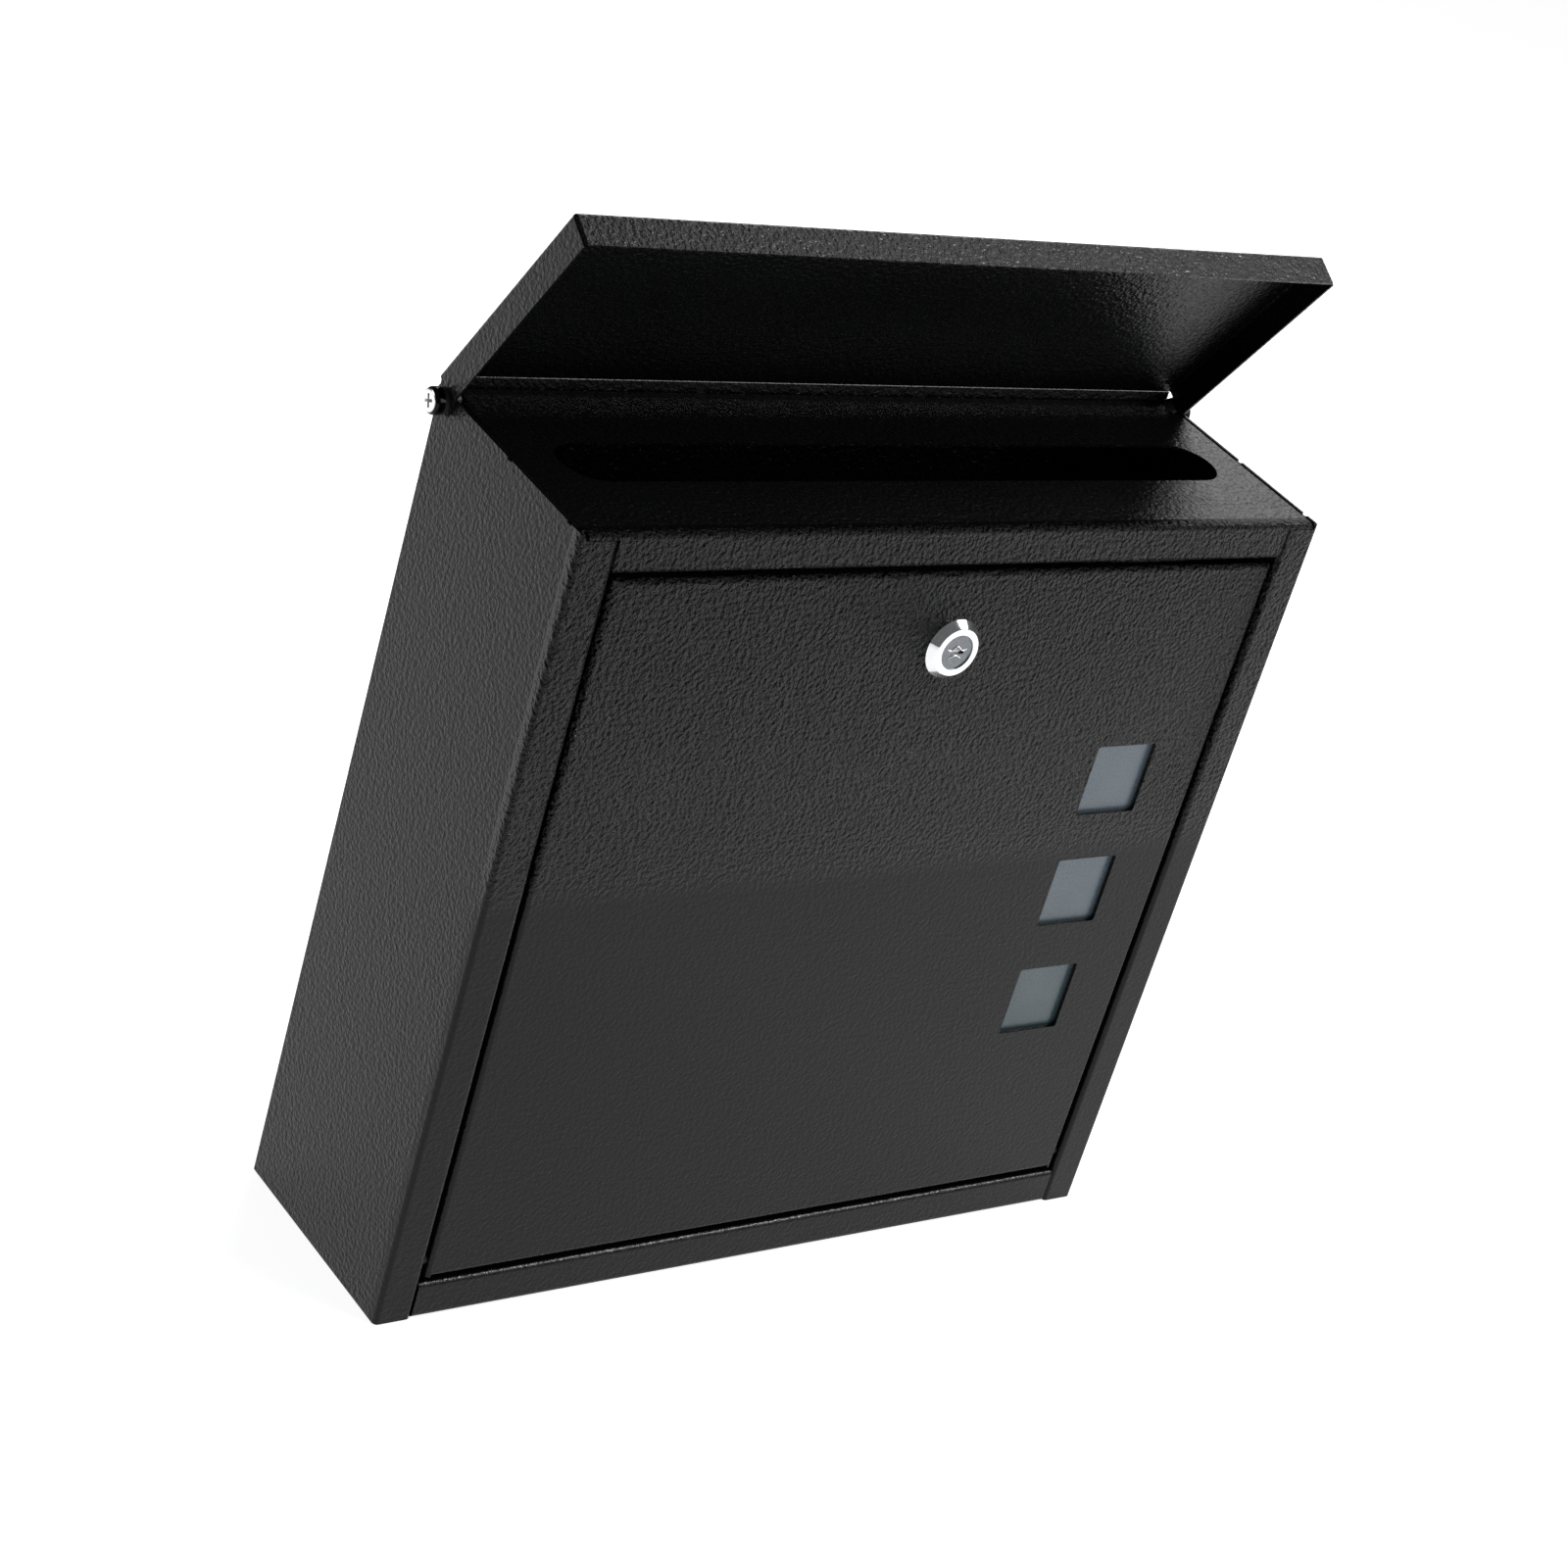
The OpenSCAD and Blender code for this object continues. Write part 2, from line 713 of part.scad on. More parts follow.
module door_panel() {
  color(black) from_bottom() difference() {
    union() {
      translate([fold_out - door_half, door_face, door_bottom + fold_out]) {
        cube([2 * (door_half - fold_out), sheet, door_top - door_bottom - 2 * fold_out]);
      }
      along_x(door_half - fold_out) door_edge_sections();
      both_sides() {
        translate([0, 0, door_bottom]) linear_extrude(door_top - door_bottom) {
          fold_at(fold_out - door_half, door_face + fold_out, -1, -1);
          translate([-door_half, door_face + fold_out]) square([sheet, door_return - fold_out]);
        }
      }
    }
    along_y(door_face - past, sheet + 2 * past) {
      for (z = window_heights()) {
        translate([window_x, z]) rounded_square(window_size, window_size, window_corner);
      }
      translate([lock_x, lock_z]) lock_hole_section(2 * play);
    }
    translate([-door_half, door_axis_y, door_axis_z]) cut_x(2 * door_half, pin_d + 2 * running);
  }
}

// Places a piece that is drawn for the left side, with the hinge axis on X, at both door hinges.
module at_door_hinges() {
  from_bottom() translate([0, door_axis_y, door_axis_z]) both_sides() children();
}

// A shouldered rivet: its tail is closed behind the jamb and its journal carries the door.
module door_hinge_pins() {
  tail = opening_half + sheet + rivet_t;
  journal_end = -clip_x - clip_t - pin_past_clip;
  color(zinc) at_door_hinges() {
    translate([-tail, 0, 0]) rotate([0, 90, 0]) cylinder(h = rivet_t, d = pin_collar_d);
    translate([-tail, 0, 0]) rotate([0, 90, 0]) cylinder(h = tail - journal_end, d = pin_d);
    translate([-opening_half, 0, 0]) rotate([0, 90, 0]) {
      cylinder(h = door_gap - pin_side_play, d = pin_collar_d);
    }
  }
}

module door_pin_clips() {
  color(zinc) at_door_hinges() ring_x(clip_x, clip_t, clip_d, pin_d);
}

// ---------- windows ----------

// A shape behind the windows, drawn as (x, height) round the middle of the row.
module pane_outline() {
  row_h = (window_count - 1) * window_pitch + window_size;
  translate([window_x, window_z]) {
    rounded_square(window_size + 2 * pane_margin, row_h + 2 * pane_margin, pane_corner);
  }
}

module window_pane() {
  color([0.42, 0.46, 0.5, 0.6]) from_bottom() along_y(door_face + sheet + tape_t, pane_t) pane_outline();
}

module window_tape() {
  hole = window_size + 2 * tape_setback;
  color([0.04, 0.04, 0.04]) from_bottom() along_y(door_face + sheet, tape_t) difference() {
    pane_outline();
    for (z = window_heights()) {
      translate([window_x, z]) rounded_square(hole, hole, window_corner);
    }
  }
}

// ---------- lock ----------

// Places a lock piece, drawn along z, so that z = 0 is the door's face and +z goes into the box.
module at_lock() {
  from_bottom() translate([lock_x, door_face, lock_z]) rotate([-90, 0, 0]) children();
}

module lock_housing() {
  color(chrome) at_lock() difference() {
    union() {
      rotate_extrude() {
        polygon([
          [0, 0],
          [bezel_d / 2, 0],
          [bezel_d / 2, -bezel_edge],
          [rim_d / 2 + rim_bevel, rim_bevel - bezel_h],
          [rim_d / 2, -bezel_h],
          [0, -bezel_h]
        ]);
      }
      linear_extrude(barrel_len) lock_hole_section(0);
    }
    translate([0, 0, -bezel_h - past]) {
      cylinder(h = bezel_h + barrel_len + 2 * past, d = plug_d + 2 * running);
      cylinder(h = past + plug_face + flange_t, d = plug_face_d + 2 * running);
    }
  }
}

module lock_washer() {
  root_r = barrel_d / 2 + lock_washer_root;
  color(zinc) at_lock() translate([0, 0, sheet]) difference() {
    cylinder(h = lock_washer_t, d = barrel_d + 2 * lock_washer_ring);
    translate([0, 0, -past]) cylinder(h = lock_washer_t + 2 * past, d = barrel_d + 2 * play);
    for (i = [0 : lock_teeth - 1]) {
      rotate([0, 0, i * 360 / lock_teeth]) translate([root_r, -tooth_gap / 2, -past]) {
        cube([lock_washer_ring, tooth_gap, lock_washer_t + 2 * past]);
      }
    }
  }
}

module lock_nut() {
  color(zinc) at_lock() translate([0, 0, sheet + lock_washer_t]) difference() {
    cylinder(h = lock_nut_t, d = lock_nut_flats / cos(30), $fn = 6);
    translate([0, 0, -past]) cylinder(h = lock_nut_t + 2 * past, d = barrel_d);
  }
}

// Depth of a wafer's middle, behind the door's face.
function wafer_depth(i) = wafer_start + i * wafer_pitch;

// Width of the window in a wafer, in three different cuts.
function wafer_window_w(i) = key_w - wafer_window + wafer_step * (i % 3);

module lock_plug() {
  front = plug_face - bezel_h;
  key_len = wafer_depth(wafer_count) - front;
  color([0.55, 0.56, 0.57]) at_lock() difference() {
    union() {
      translate([0, 0, front]) cylinder(h = plug_back - front, d = plug_d);
      translate([0, 0, front]) cylinder(h = flange_t - running, d = plug_face_d);
      translate([-cam_square / 2, -cam_square / 2, plug_back]) cube([cam_square, cam_square, cam_t - play]);
    }
    translate([-key_w / 2, -key_h / 2, front - past]) cube([key_w, key_h, key_len + past]);
    translate([-key_w / 2, -shutter_slot_h / 2, front + shutter_depth]) {
      cube([key_w, shutter_slot_h, shutter_t]);
    }
    for (i = [0 : wafer_count - 1]) {
      translate([0, 0, wafer_depth(i)]) {
        cube([plug_d + past, wafer_w + 2 * play, wafer_t + play], center = true);
      }
    }
    translate([0, 0, plug_back + cam_t + cam_washer_t - cam_screw_len - screw_hole_spare]) {
      cylinder(h = cam_screw_len + past, d = cam_screw_d);
    }
  }
}

module lock_wafers() {
  color([0.75, 0.62, 0.3]) at_lock() {
    for (i = [0 : wafer_count - 1]) {
      translate([0, 0, wafer_depth(i)]) difference() {
        cube([plug_d - wafer_short, wafer_w, wafer_t], center = true);
        cube([wafer_window_w(i), key_h + 2 * wafer_clear, wafer_t + past], center = true);
      }
    }
  }
}

module lock_shutter() {
  color(zinc) at_lock() translate([0, 0, plug_face - bezel_h + shutter_depth + shutter_t / 2]) {
    cube([key_w - play, shutter_slot_h - play, shutter_t - running], center = true);
  }
}

// The cam points sideways when the lock is open, and up behind the roof's lip when it is locked.
module lock_cam() {
  color(zinc) at_lock() translate([0, 0, plug_back]) difference() {
    linear_extrude(cam_t) {
      circle(d = cam_w);
      translate([0, -cam_w / 2]) square([cam_len - cam_w / 2, cam_w]);
      translate([cam_len - cam_w / 2, 0]) circle(d = cam_w);
    }
    cube([cam_square, cam_square, 3 * cam_t], center = true);
  }
}

module cam_washer() {
  color(zinc) at_lock() translate([0, 0, plug_back + cam_t]) difference() {
    cylinder(h = cam_washer_t, d = cam_washer_d);
    translate([0, 0, -past]) cylinder(h = cam_washer_t + 2 * past, d = cam_screw_d + 2 * play);
  }
}

module cam_screw() {
  color(zinc) at_lock() translate([0, 0, plug_back + cam_t + cam_washer_t]) {
    pan_head(cam_head_d, cam_head_h, cam_cross);
    translate([0, 0, -cam_screw_len]) cylinder(h = cam_screw_len, d = cam_screw_d);
  }
}

back_panel();
left_side_panel();
right_side_panel();
roof_panel();
bottom_panel();
lid();
lid_hinge_screws();
lid_hinge_washers();
lid_hinge_spacers();
lid_hinge_nuts();
door_panel();
door_hinge_pins();
door_pin_clips();
window_pane();
window_tape();
lock_housing();
lock_washer();
lock_nut();
lock_plug();
lock_wafers();
lock_shutter();
lock_cam();
cam_washer();
cam_screw();
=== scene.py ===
"""The looks of the wall mounted mailbox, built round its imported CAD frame. Units are metres."""
import json
import math

import bmesh
import bpy
from mathutils import Matrix, Vector


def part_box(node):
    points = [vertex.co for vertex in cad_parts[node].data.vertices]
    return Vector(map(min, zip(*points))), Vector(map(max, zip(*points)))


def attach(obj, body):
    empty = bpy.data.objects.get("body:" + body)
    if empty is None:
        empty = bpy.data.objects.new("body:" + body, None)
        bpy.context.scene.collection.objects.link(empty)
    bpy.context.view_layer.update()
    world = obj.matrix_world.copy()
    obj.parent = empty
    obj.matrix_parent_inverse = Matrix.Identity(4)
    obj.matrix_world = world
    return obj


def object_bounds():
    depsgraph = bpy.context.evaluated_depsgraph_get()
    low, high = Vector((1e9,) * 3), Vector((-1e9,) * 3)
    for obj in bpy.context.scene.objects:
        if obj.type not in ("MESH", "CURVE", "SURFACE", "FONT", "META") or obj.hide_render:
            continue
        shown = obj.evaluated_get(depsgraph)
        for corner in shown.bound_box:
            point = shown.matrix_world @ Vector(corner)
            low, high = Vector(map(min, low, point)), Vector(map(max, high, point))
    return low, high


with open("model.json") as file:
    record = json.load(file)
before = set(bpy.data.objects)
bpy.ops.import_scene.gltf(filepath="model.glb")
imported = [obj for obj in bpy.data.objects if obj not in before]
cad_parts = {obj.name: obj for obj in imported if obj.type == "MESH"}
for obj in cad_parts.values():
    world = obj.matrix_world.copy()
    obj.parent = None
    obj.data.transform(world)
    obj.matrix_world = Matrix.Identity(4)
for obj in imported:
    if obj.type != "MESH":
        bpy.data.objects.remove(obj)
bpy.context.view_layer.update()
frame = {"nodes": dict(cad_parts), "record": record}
nodes = frame["nodes"]


# ---------- shader helpers ----------

# Noise is mostly between these two values, so colours and roughness are spread between them
NOISE_LOW, NOISE_HIGH = 0.3, 0.7


def new_material(name):
    """A fresh node material, its tree, its main shader and a socket of the object's own coordinates."""
    material = bpy.data.materials.new(name)
    material.use_nodes = True
    tree = material.node_tree
    shader = tree.nodes["Principled BSDF"]
    place = tree.nodes.new("ShaderNodeTexCoord")
    return material, tree, shader, place.outputs["Object"]


def noise(tree, place, scale, detail=2.0, rough=0.5):
    """A noise with its scale in waves per metre."""
    node = tree.nodes.new("ShaderNodeTexNoise")
    node.inputs["Scale"].default_value = scale
    node.inputs["Detail"].default_value = detail
    node.inputs["Roughness"].default_value = rough
    tree.links.new(place, node.inputs["Vector"])
    return node.outputs["Fac"]


def ramp(tree, value, low, high, colours):
    """Maps a value to a colour: the first colour up to low, the second from high on."""
    node = tree.nodes.new("ShaderNodeValToRGB")
    elements = node.color_ramp.elements
    elements[0].position = low
    elements[0].color = (*colours[0], 1)
    elements[1].position = high
    elements[1].color = (*colours[1], 1)
    tree.links.new(value, node.inputs["Fac"])
    return node.outputs["Color"]


def spread(tree, value, low, high, new_low, new_high):
    """Maps a value from one range to another, and holds it at the range's ends."""
    node = tree.nodes.new("ShaderNodeMapRange")
    node.inputs["From Min"].default_value = low
    node.inputs["From Max"].default_value = high
    node.inputs["To Min"].default_value = new_low
    node.inputs["To Max"].default_value = new_high
    tree.links.new(value, node.inputs["Value"])
    return node.outputs["Result"]


def combine(tree, operation, first, second):
    node = tree.nodes.new("ShaderNodeMath")
    node.operation = operation
    tree.links.new(first, node.inputs[0])
    tree.links.new(second, node.inputs[1])
    return node.outputs["Value"]


def vector_step(tree, operation, vector, constant):
    node = tree.nodes.new("ShaderNodeVectorMath")
    node.operation = operation
    node.inputs[1].default_value = constant
    tree.links.new(vector, node.inputs[0])
    return node.outputs["Vector"]


def split_axes(tree, place):
    node = tree.nodes.new("ShaderNodeSeparateXYZ")
    tree.links.new(place, node.inputs["Vector"])
    return node.outputs


def add_bump(tree, shader, heights):
    """Stacks bumps on a shader: heights is a list of (height socket, distance in metres, strength)."""
    normal = None
    for height, distance, strength in heights:
        node = tree.nodes.new("ShaderNodeBump")
        node.inputs["Distance"].default_value = distance
        node.inputs["Strength"].default_value = strength
        tree.links.new(height, node.inputs["Height"])
        if normal is not None:
            tree.links.new(normal, node.inputs["Normal"])
        normal = node.outputs["Normal"]
    tree.links.new(normal, shader.inputs["Normal"])


def set_colour(tree, shader, value, colours, low=NOISE_LOW, high=NOISE_HIGH):
    tree.links.new(ramp(tree, value, low, high, colours), shader.inputs["Base Color"])


def set_roughness(tree, shader, value, smoothest, roughest):
    result = spread(tree, value, NOISE_LOW, NOISE_HIGH, smoothest, roughest)
    tree.links.new(result, shader.inputs["Roughness"])


# ---------- powder coat ----------

COAT_COLOURS = [(0.0020, 0.0021, 0.0023), (0.0032, 0.0034, 0.0036)]
COAT_SPECULAR = 0.18
COAT_ROUGHNESS = (0.24, 0.34)
CLOUD_SCALE, CLOUD_HIGH = 14, 0.75
WRINKLE_SCALE, WRINKLE_DETAIL, WRINKLE_DEPTH = 620, 2.4, 0.0085
GRAIN_SCALE, GRAIN_DEPTH, GRAIN_STRENGTH = 1700, 0.00005, 0.5

# Shares of the full wrinkle depth, and the places between which they change
WRINKLE_RISE_Z = (0.01, 0.115)
LOWER_SHARE = 0.03
WRINKLE_FALL_X = (0.08, 0.155)
RIGHT_SHARE = 0.55
FRONT_Y = (-0.084, -0.087)
SIDES_SHARE = 0.07


def wrinkle_share(tree, place):
    """The front is wrinkled most at its top and less at its right; everything behind it is smoother."""
    axes = split_axes(tree, place)
    upper = spread(tree, axes["Z"], *WRINKLE_RISE_Z, LOWER_SHARE, 1.0)
    front = spread(tree, axes["Y"], *FRONT_Y, 0.0, 1.0)
    right = spread(tree, axes["X"], *WRINKLE_FALL_X, 1.0, RIGHT_SHARE)
    mix = tree.nodes.new("ShaderNodeMix")
    mix.inputs["A"].default_value = SIDES_SHARE
    tree.links.new(front, mix.inputs["Factor"])
    tree.links.new(combine(tree, "MULTIPLY", upper, right), mix.inputs["B"])
    return mix.outputs["Result"]


def powder_coat():
    """Black powder coat, wrinkled like leather, with a fine grain on top."""
    material, tree, shader, place = new_material("black_powder_coat")
    shader.inputs["Specular IOR Level"].default_value = COAT_SPECULAR
    wrinkle = noise(tree, place, WRINKLE_SCALE, WRINKLE_DETAIL)
    depth = combine(tree, "MULTIPLY", wrinkle, wrinkle_share(tree, place))
    grain = noise(tree, place, GRAIN_SCALE)
    cloud = noise(tree, place, CLOUD_SCALE)
    set_colour(tree, shader, cloud, COAT_COLOURS, high=CLOUD_HIGH)
    set_roughness(tree, shader, grain, *COAT_ROUGHNESS)
    add_bump(tree, shader, [(depth, WRINKLE_DEPTH, 1.0), (grain, GRAIN_DEPTH, GRAIN_STRENGTH)])
    return material


# ---------- plated metals, plastics, foam and acrylic ----------

HAZE_SCALE, HAZE_DETAIL, HAZE_DEPTH, HAZE_STRENGTH = 900, 3.0, 0.00003, 0.25
SCREW_FACE_AND_PAINTED_RIM_COLOURS = [(0.80, 0.81, 0.82), (0.012, 0.012, 0.013)]
SCREW_ROUGHNESS = (0.12, 0.24)
# Radii from the hinge axis between which a head turns from bright to black: the black rim is a painted dark
# reflection of the head's rounded edge and side
SCREW_PAINTED_RIM_RADII = (0.0034, 0.0038)

ACRYLIC_TONE_AND_PAINTED_REFLECTION_COLOURS = [(0.034, 0.060, 0.066), (0.096, 0.126, 0.153)]
ACRYLIC_IOR = 1.49
ACRYLIC_ROUGHNESS = (0.22, 0.34)
# Heights between which the painted reflection lightens the acrylic from its lower end to its top
ACRYLIC_PAINTED_REFLECTION_Z = (-0.058, 0.0)
# Shares of the colour change that follow the height, a painted reflection that is lighter at the top and
# darker at the lower end, and the cloudiness
PAINTED_REFLECTION_SHARE, CLOUDY_SHARE = 0.75, 0.25
CLOUDY_SCALE = 45
SATIN_SCALE, SATIN_DEPTH, SATIN_STRENGTH = 1200, 0.00003, 0.3


def mottled(name, colours, roughness, scale, detail, depth, strength=0.4, rough=0.6, metallic=0.0):
    """A material whose colour, roughness and bump all follow one fine noise."""
    material, tree, shader, place = new_material(name)
    shader.inputs["Metallic"].default_value = metallic
    mottle = noise(tree, place, scale, detail, rough)
    set_colour(tree, shader, mottle, colours)
    set_roughness(tree, shader, mottle, *roughness)
    add_bump(tree, shader, [(mottle, depth, strength)])
    return material


def chrome():
    """Bright chrome with a faint haze and fine polishing marks."""
    return mottled("bright_chrome", [(0.74, 0.75, 0.76), (0.83, 0.84, 0.85)], (0.06, 0.13),
                   HAZE_SCALE, HAZE_DETAIL, HAZE_DEPTH, HAZE_STRENGTH, rough=0.5, metallic=1.0)


def plated(name, colours, roughness, scale=700):
    """A satin plated metal."""
    return mottled(name, colours, roughness, scale, detail=4.0, depth=0.00005, metallic=1.0)


def plain(name, colours, roughness, scale=900, depth=0.00008):
    """A non-metal with a fine mottle: plastic, nylon or foam."""
    return mottled(name, colours, roughness, scale, detail=3.0, depth=depth)


def acrylic():
    """Smoked blue-grey acrylic, a little cloudy, with a painted reflection that leaves it darker at its
    lower end, and a soft satin face.
    """
    material, tree, shader, place = new_material("smoked_acrylic")
    shader.inputs["IOR"].default_value = ACRYLIC_IOR
    # painted reflection: the acrylic's colour is made lighter towards its top by height
    height = spread(tree, split_axes(tree, place)["Z"], *ACRYLIC_PAINTED_REFLECTION_Z, 0.0, PAINTED_REFLECTION_SHARE)
    cloudy = spread(tree, noise(tree, place, CLOUDY_SCALE), NOISE_LOW, NOISE_HIGH, 0.0, CLOUDY_SHARE)
    set_colour(tree, shader, combine(tree, "ADD", height, cloudy), ACRYLIC_TONE_AND_PAINTED_REFLECTION_COLOURS, low=0.0, high=1.0)
    fine = noise(tree, place, SATIN_SCALE)
    set_roughness(tree, shader, fine, *ACRYLIC_ROUGHNESS)
    add_bump(tree, shader, [(fine, SATIN_DEPTH, SATIN_STRENGTH)])
    return material


def screw_metal():
    """Bright chrome on the heads' faces, with a black rim painted in as the dark reflection of the rounded
    edge: the radius from the hinge axis decides.
    """
    low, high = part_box("lid_hinge_screws")
    material, tree, shader, place = new_material("hinge_screw_chrome_with_painted_rim")
    shader.inputs["Metallic"].default_value = 1.0
    axis = (0, (low[1] + high[1]) / 2, (low[2] + high[2]) / 2)
    across = vector_step(tree, "MULTIPLY", vector_step(tree, "SUBTRACT", place, axis), (0, 1, 1))
    radius = tree.nodes.new("ShaderNodeVectorMath")
    radius.operation = "LENGTH"
    tree.links.new(across, radius.inputs[0])
    # painted dark reflection: each head's rounded edge and side are coloured black by their radius from the
    # hinge axis
    painted_dark_rim = spread(tree, radius.outputs["Value"], *SCREW_PAINTED_RIM_RADII, 0.0, 1.0)
    set_colour(tree, shader, painted_dark_rim, SCREW_FACE_AND_PAINTED_RIM_COLOURS, low=0.0, high=1.0)
    haze = noise(tree, place, HAZE_SCALE, HAZE_DETAIL)
    set_roughness(tree, shader, haze, *SCREW_ROUGHNESS)
    add_bump(tree, shader, [(haze, HAZE_DEPTH, HAZE_STRENGTH)])
    return material


# One material for each slot: its two colours, then its smoothest and roughest value
materials = {
    "powder_coat": powder_coat(),
    "chrome": chrome(),
    "zinc": plated("zinc_plate", [(0.50, 0.51, 0.52), (0.66, 0.67, 0.68)], (0.28, 0.42)),
    "plug_metal": plated("satin_nickel", [(0.13, 0.14, 0.15), (0.20, 0.21, 0.22)], (0.26, 0.38), scale=1100),
    "black_washer": plain("black_nylon", [(0.010, 0.010, 0.010), (0.020, 0.020, 0.020)], (0.45, 0.6)),
    "nylon": plain("natural_nylon", [(0.55, 0.55, 0.51), (0.68, 0.68, 0.63)], (0.4, 0.55)),
    "acrylic": acrylic(),
    "foam_tape": plain("foam_tape", [(0.008, 0.008, 0.008), (0.016, 0.016, 0.016)], (0.8, 0.95),
                       scale=2600, depth=0.0002),
    "brass": plated("plain_brass", [(0.56, 0.40, 0.14), (0.70, 0.52, 0.22)], (0.25, 0.4)),
}

slot_of = {row["node"]: row["material_slot"] for row in frame["record"]["subparts"]}
for node_name, piece in nodes.items():
    piece.data.materials.clear()
    piece.data.materials.append(materials[slot_of[node_name]])
nodes["lid_hinge_screws"].data.materials[0] = screw_metal()


# ---------- the keyway's raised lips ----------

# The rib's section, as shares of its width and height
RIB_SECTION = [(-0.5, 0.0), (-0.35, 0.7), (0.0, 1.0), (0.35, 0.7), (0.5, 0.0)]
# How far a rib's foot runs into the face it stands on
RIB_SINK = 0.00002
# A rib's size at its ends, as a share, and how fast it grows to the full size
TIP_SHARE, TIP_GROWTH = 0.35, 1.3
LIP_WIDTH, LIP_HEIGHT, LIP_STEPS = 0.0006, 0.00035, 36
UPPER_HALF_LENGTH, UPPER_RISE, UPPER_WAVE, UPPER_FADE = 0.0042, 0.0012, 0.0009, 0.4
LOWER_HALF_LENGTH, LOWER_DROP, LOWER_ARCH = 0.0026, 0.0024, 0.0012


def rib_mesh(name, paths, width, height, face_y):
    """Rounded ribs that stand on a plane that faces -Y: each path is a list of (x, z) in metres."""
    mesh = bmesh.new()
    for path in paths:
        rings = []
        for i, (x, z) in enumerate(path):
            before = Vector(path[max(i - 1, 0)])
            after = Vector(path[min(i + 1, len(path) - 1)])
            along = (after - before).normalized()
            across = Vector((-along.y, along.x))
            taper = min(1.0, TIP_SHARE + TIP_GROWTH * math.sin(math.pi * i / (len(path) - 1)))
            ring = []
            for side, up in RIB_SECTION:
                spot = Vector((x, z)) + across * side * width * taper
                ring.append(mesh.verts.new((spot.x, face_y - up * height * taper + RIB_SINK, spot.y)))
            rings.append(ring)
        for one, two in zip(rings, rings[1:]):
            for k in range(len(RIB_SECTION)):
                after_k = (k + 1) % len(RIB_SECTION)
                mesh.faces.new((one[k], one[after_k], two[after_k], two[k]))
        mesh.faces.new(rings[0])
        mesh.faces.new(list(reversed(rings[-1])))
    bmesh.ops.recalc_face_normals(mesh, faces=mesh.faces)
    data = bpy.data.meshes.new(name)
    mesh.to_mesh(data)
    mesh.free()
    for face in data.polygons:
        face.use_smooth = True
    piece = bpy.data.objects.new(name, data)
    bpy.context.scene.collection.objects.link(piece)
    return piece


def make_keyway_lips():
    """Two wavy lips, over and under the keyway, on the plug's face."""
    low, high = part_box("lock_plug")
    middle_x = (low[0] + high[0]) / 2
    middle_z = (low[2] + high[2]) / 2
    upper = []
    lower = []
    for i in range(LIP_STEPS + 1):
        t = 2 * i / LIP_STEPS - 1
        wave = UPPER_WAVE * math.cos(1.5 * math.pi * t) * (1 - UPPER_FADE * abs(t))
        arch = LOWER_ARCH * math.cos(0.5 * math.pi * t)
        upper.append((middle_x + UPPER_HALF_LENGTH * t, middle_z + UPPER_RISE + wave))
        lower.append((middle_x + LOWER_HALF_LENGTH * t, middle_z - LOWER_DROP + arch))
    lips = rib_mesh("keyway_lips", [upper, lower], LIP_WIDTH, LIP_HEIGHT, low[1])
    lips.data.materials.append(materials["chrome"])
    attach(lips, "lock")


make_keyway_lips()


# ---------- stage, light and camera ----------

FLOOR_HALF, FLOOR_DROP = 14.0, 0.0005
FLOOR_COLOURS = [(0.86, 0.86, 0.86), (0.88, 0.88, 0.88)]
FLOOR_CLOUD_SCALE, FLOOR_CLOUD_DETAIL = 3, 1.0
FLOOR_ROUGHNESS, FLOOR_SPECULAR, FLOOR_GLOW = 0.9, 0.1, 0.84
WORLD_STRENGTH = 0.14

CAMERA_PLACE = (-0.6795, -0.7783, 0.4903)
CAMERA_FORWARD = (0.6094, 0.6683, -0.4266)
CAMERA_ROLL_DEGREES = 16.97
LENS_MM, SENSOR_MM, CLIP_START = 73.67, 36, 0.01


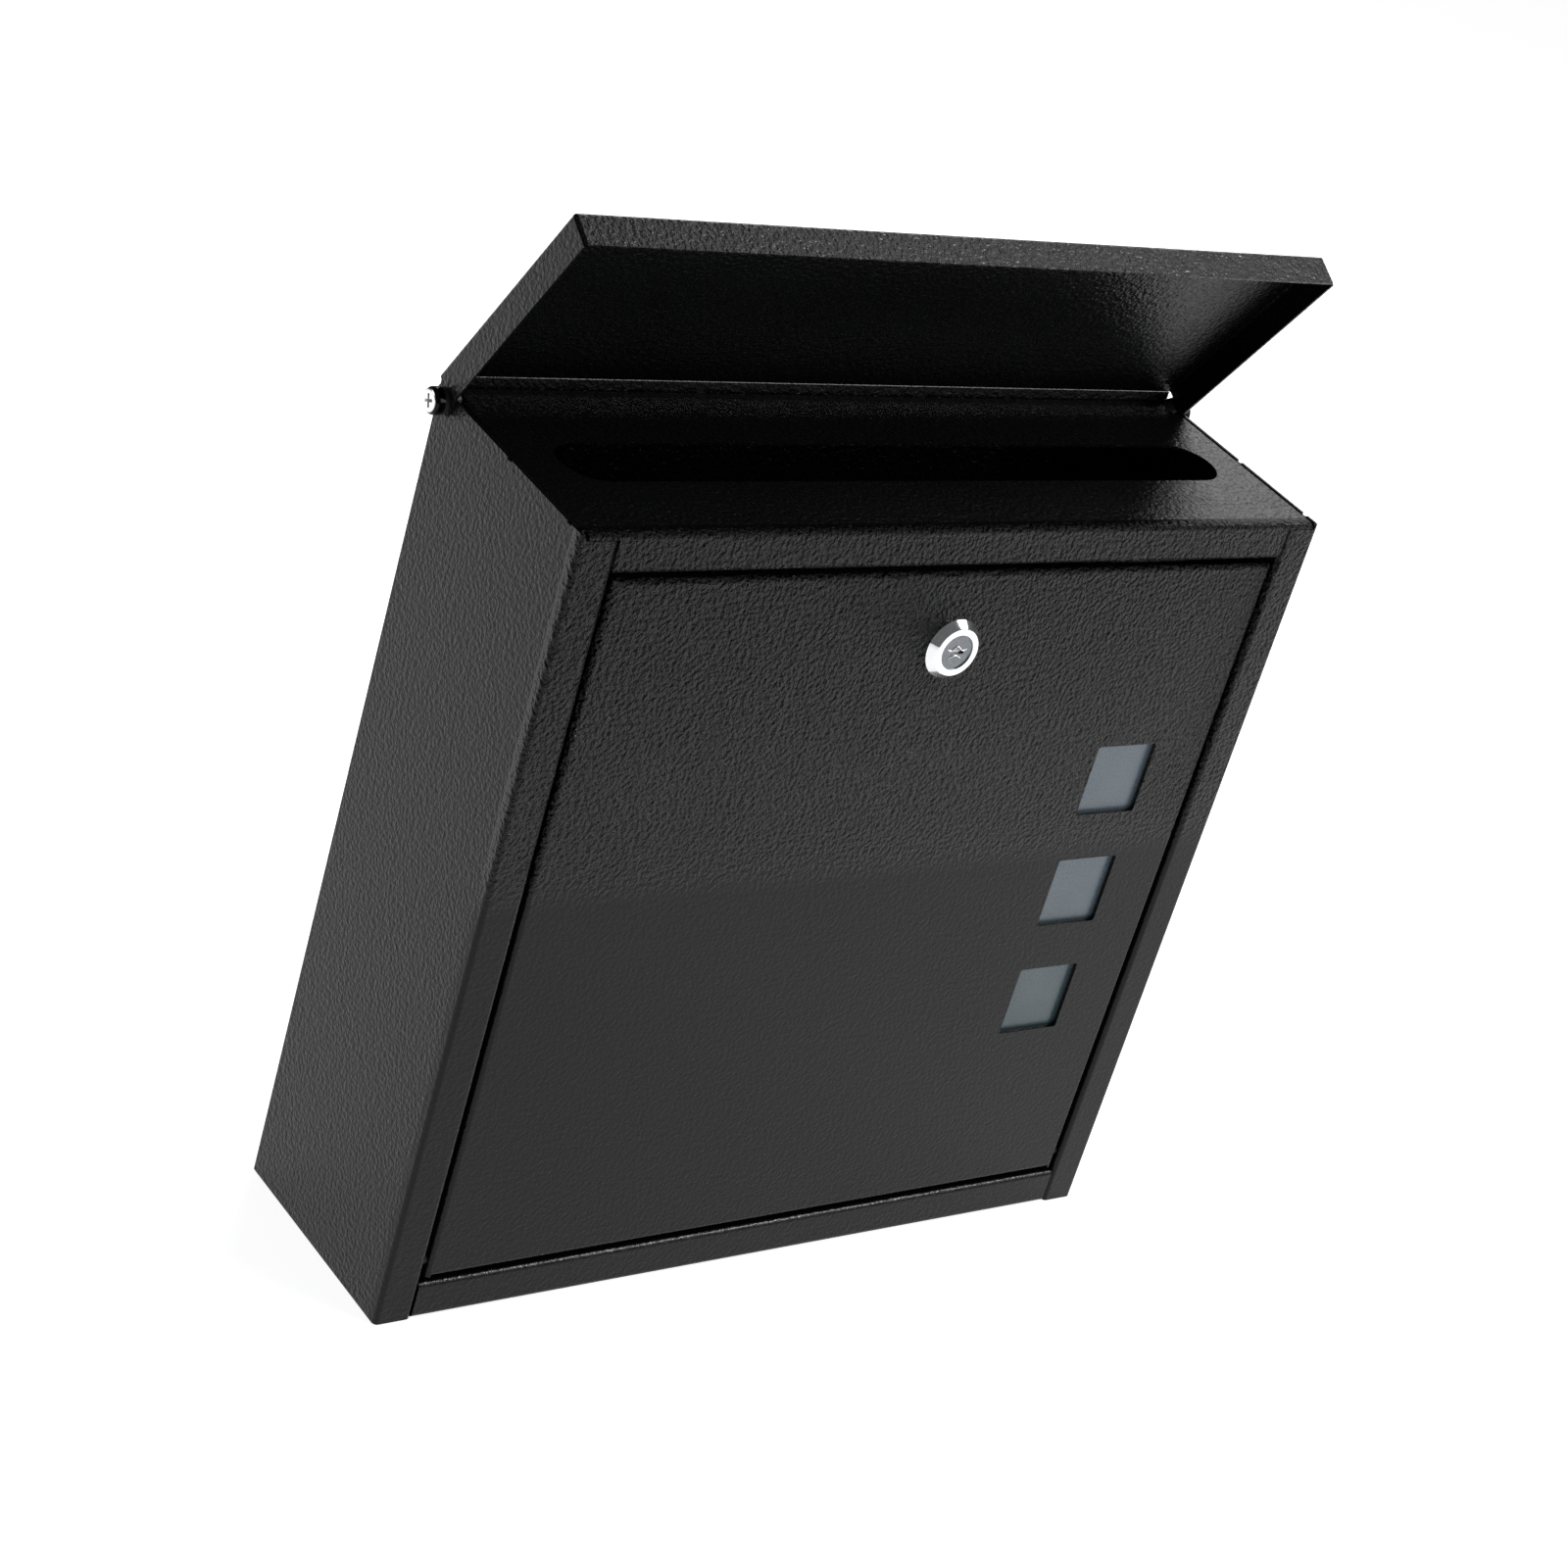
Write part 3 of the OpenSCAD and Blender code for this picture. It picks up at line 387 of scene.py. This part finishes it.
def make_floor():
    low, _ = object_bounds()
    height = low[2] - FLOOR_DROP
    far = FLOOR_HALF
    corners = [(-far, -far), (far, -far), (far, far), (-far, far)]
    mesh = bpy.data.meshes.new("floor")
    mesh.from_pydata([(x, y, height) for x, y in corners], [], [(0, 1, 2, 3)])
    floor = bpy.data.objects.new("floor", mesh)
    bpy.context.scene.collection.objects.link(floor)
    material, tree, shader, place = new_material("pale_floor")
    set_colour(tree, shader, noise(tree, place, FLOOR_CLOUD_SCALE, FLOOR_CLOUD_DETAIL), FLOOR_COLOURS)
    shader.inputs["Roughness"].default_value = FLOOR_ROUGHNESS
    shader.inputs["Specular IOR Level"].default_value = FLOOR_SPECULAR
    shader.inputs["Emission Color"].default_value = (1, 1, 1, 1)
    shader.inputs["Emission Strength"].default_value = FLOOR_GLOW
    mesh.materials.append(material)


def area_light(name, place, target, side, power, colour=(1, 1, 1), lights_floor=True):
    """A square light, aimed at the target, with its power in watts."""
    data = bpy.data.lights.new(name, "AREA")
    data.shape = "RECTANGLE"
    data.size = side
    data.size_y = side
    data.energy = power
    data.color = colour
    light = bpy.data.objects.new(name, data)
    light.visible_diffuse = lights_floor
    light.location = place
    light.rotation_euler = (Vector(target) - Vector(place)).to_track_quat("-Z", "Y").to_euler()
    bpy.context.scene.collection.objects.link(light)


def make_camera():
    data = bpy.data.cameras.new("camera")
    data.lens = LENS_MM
    data.sensor_width = SENSOR_MM
    data.clip_start = CLIP_START
    camera = bpy.data.objects.new("camera", data)
    turn = Vector(CAMERA_FORWARD).normalized().to_track_quat("-Z", "Y").to_matrix().to_4x4()
    roll = Matrix.Rotation(math.radians(CAMERA_ROLL_DEGREES), 4, "Z")
    camera.matrix_world = Matrix.Translation(CAMERA_PLACE) @ turn @ roll
    bpy.context.scene.collection.objects.link(camera)
    bpy.context.scene.camera = camera


def make_world():
    world = bpy.data.worlds.new("studio")
    world.use_nodes = True
    back = world.node_tree.nodes["Background"]
    back.inputs["Color"].default_value = (1.0, 1.0, 1.0, 1)
    back.inputs["Strength"].default_value = WORLD_STRENGTH
    bpy.context.scene.world = world


make_floor()
make_world()
make_camera()
area_light("back_right_panel", (1.22, 1.18, 1.06), (0, 0, 0), side=1.1, power=10.5)
area_light("overhead_panel", (1.22, -0.26, 1.56), (0, 0, 0), side=1.1, power=11)
area_light("front_right_panel", (1.0, -1.2, 0.75), (0, 0, 0.05), side=0.8, power=8)
area_light("left_panel", (-1.5, 0.9, 0.6), (-0.6, 0.6, -0.15), side=0.8, power=5, colour=(0.95, 0.97, 1.0))
area_light("edge_light", (1.1, -0.78, 1.25), (0, -0.09, 0.14), side=0.14, power=26, lights_floor=False)
bpy.context.scene.view_settings.view_transform = "Standard"
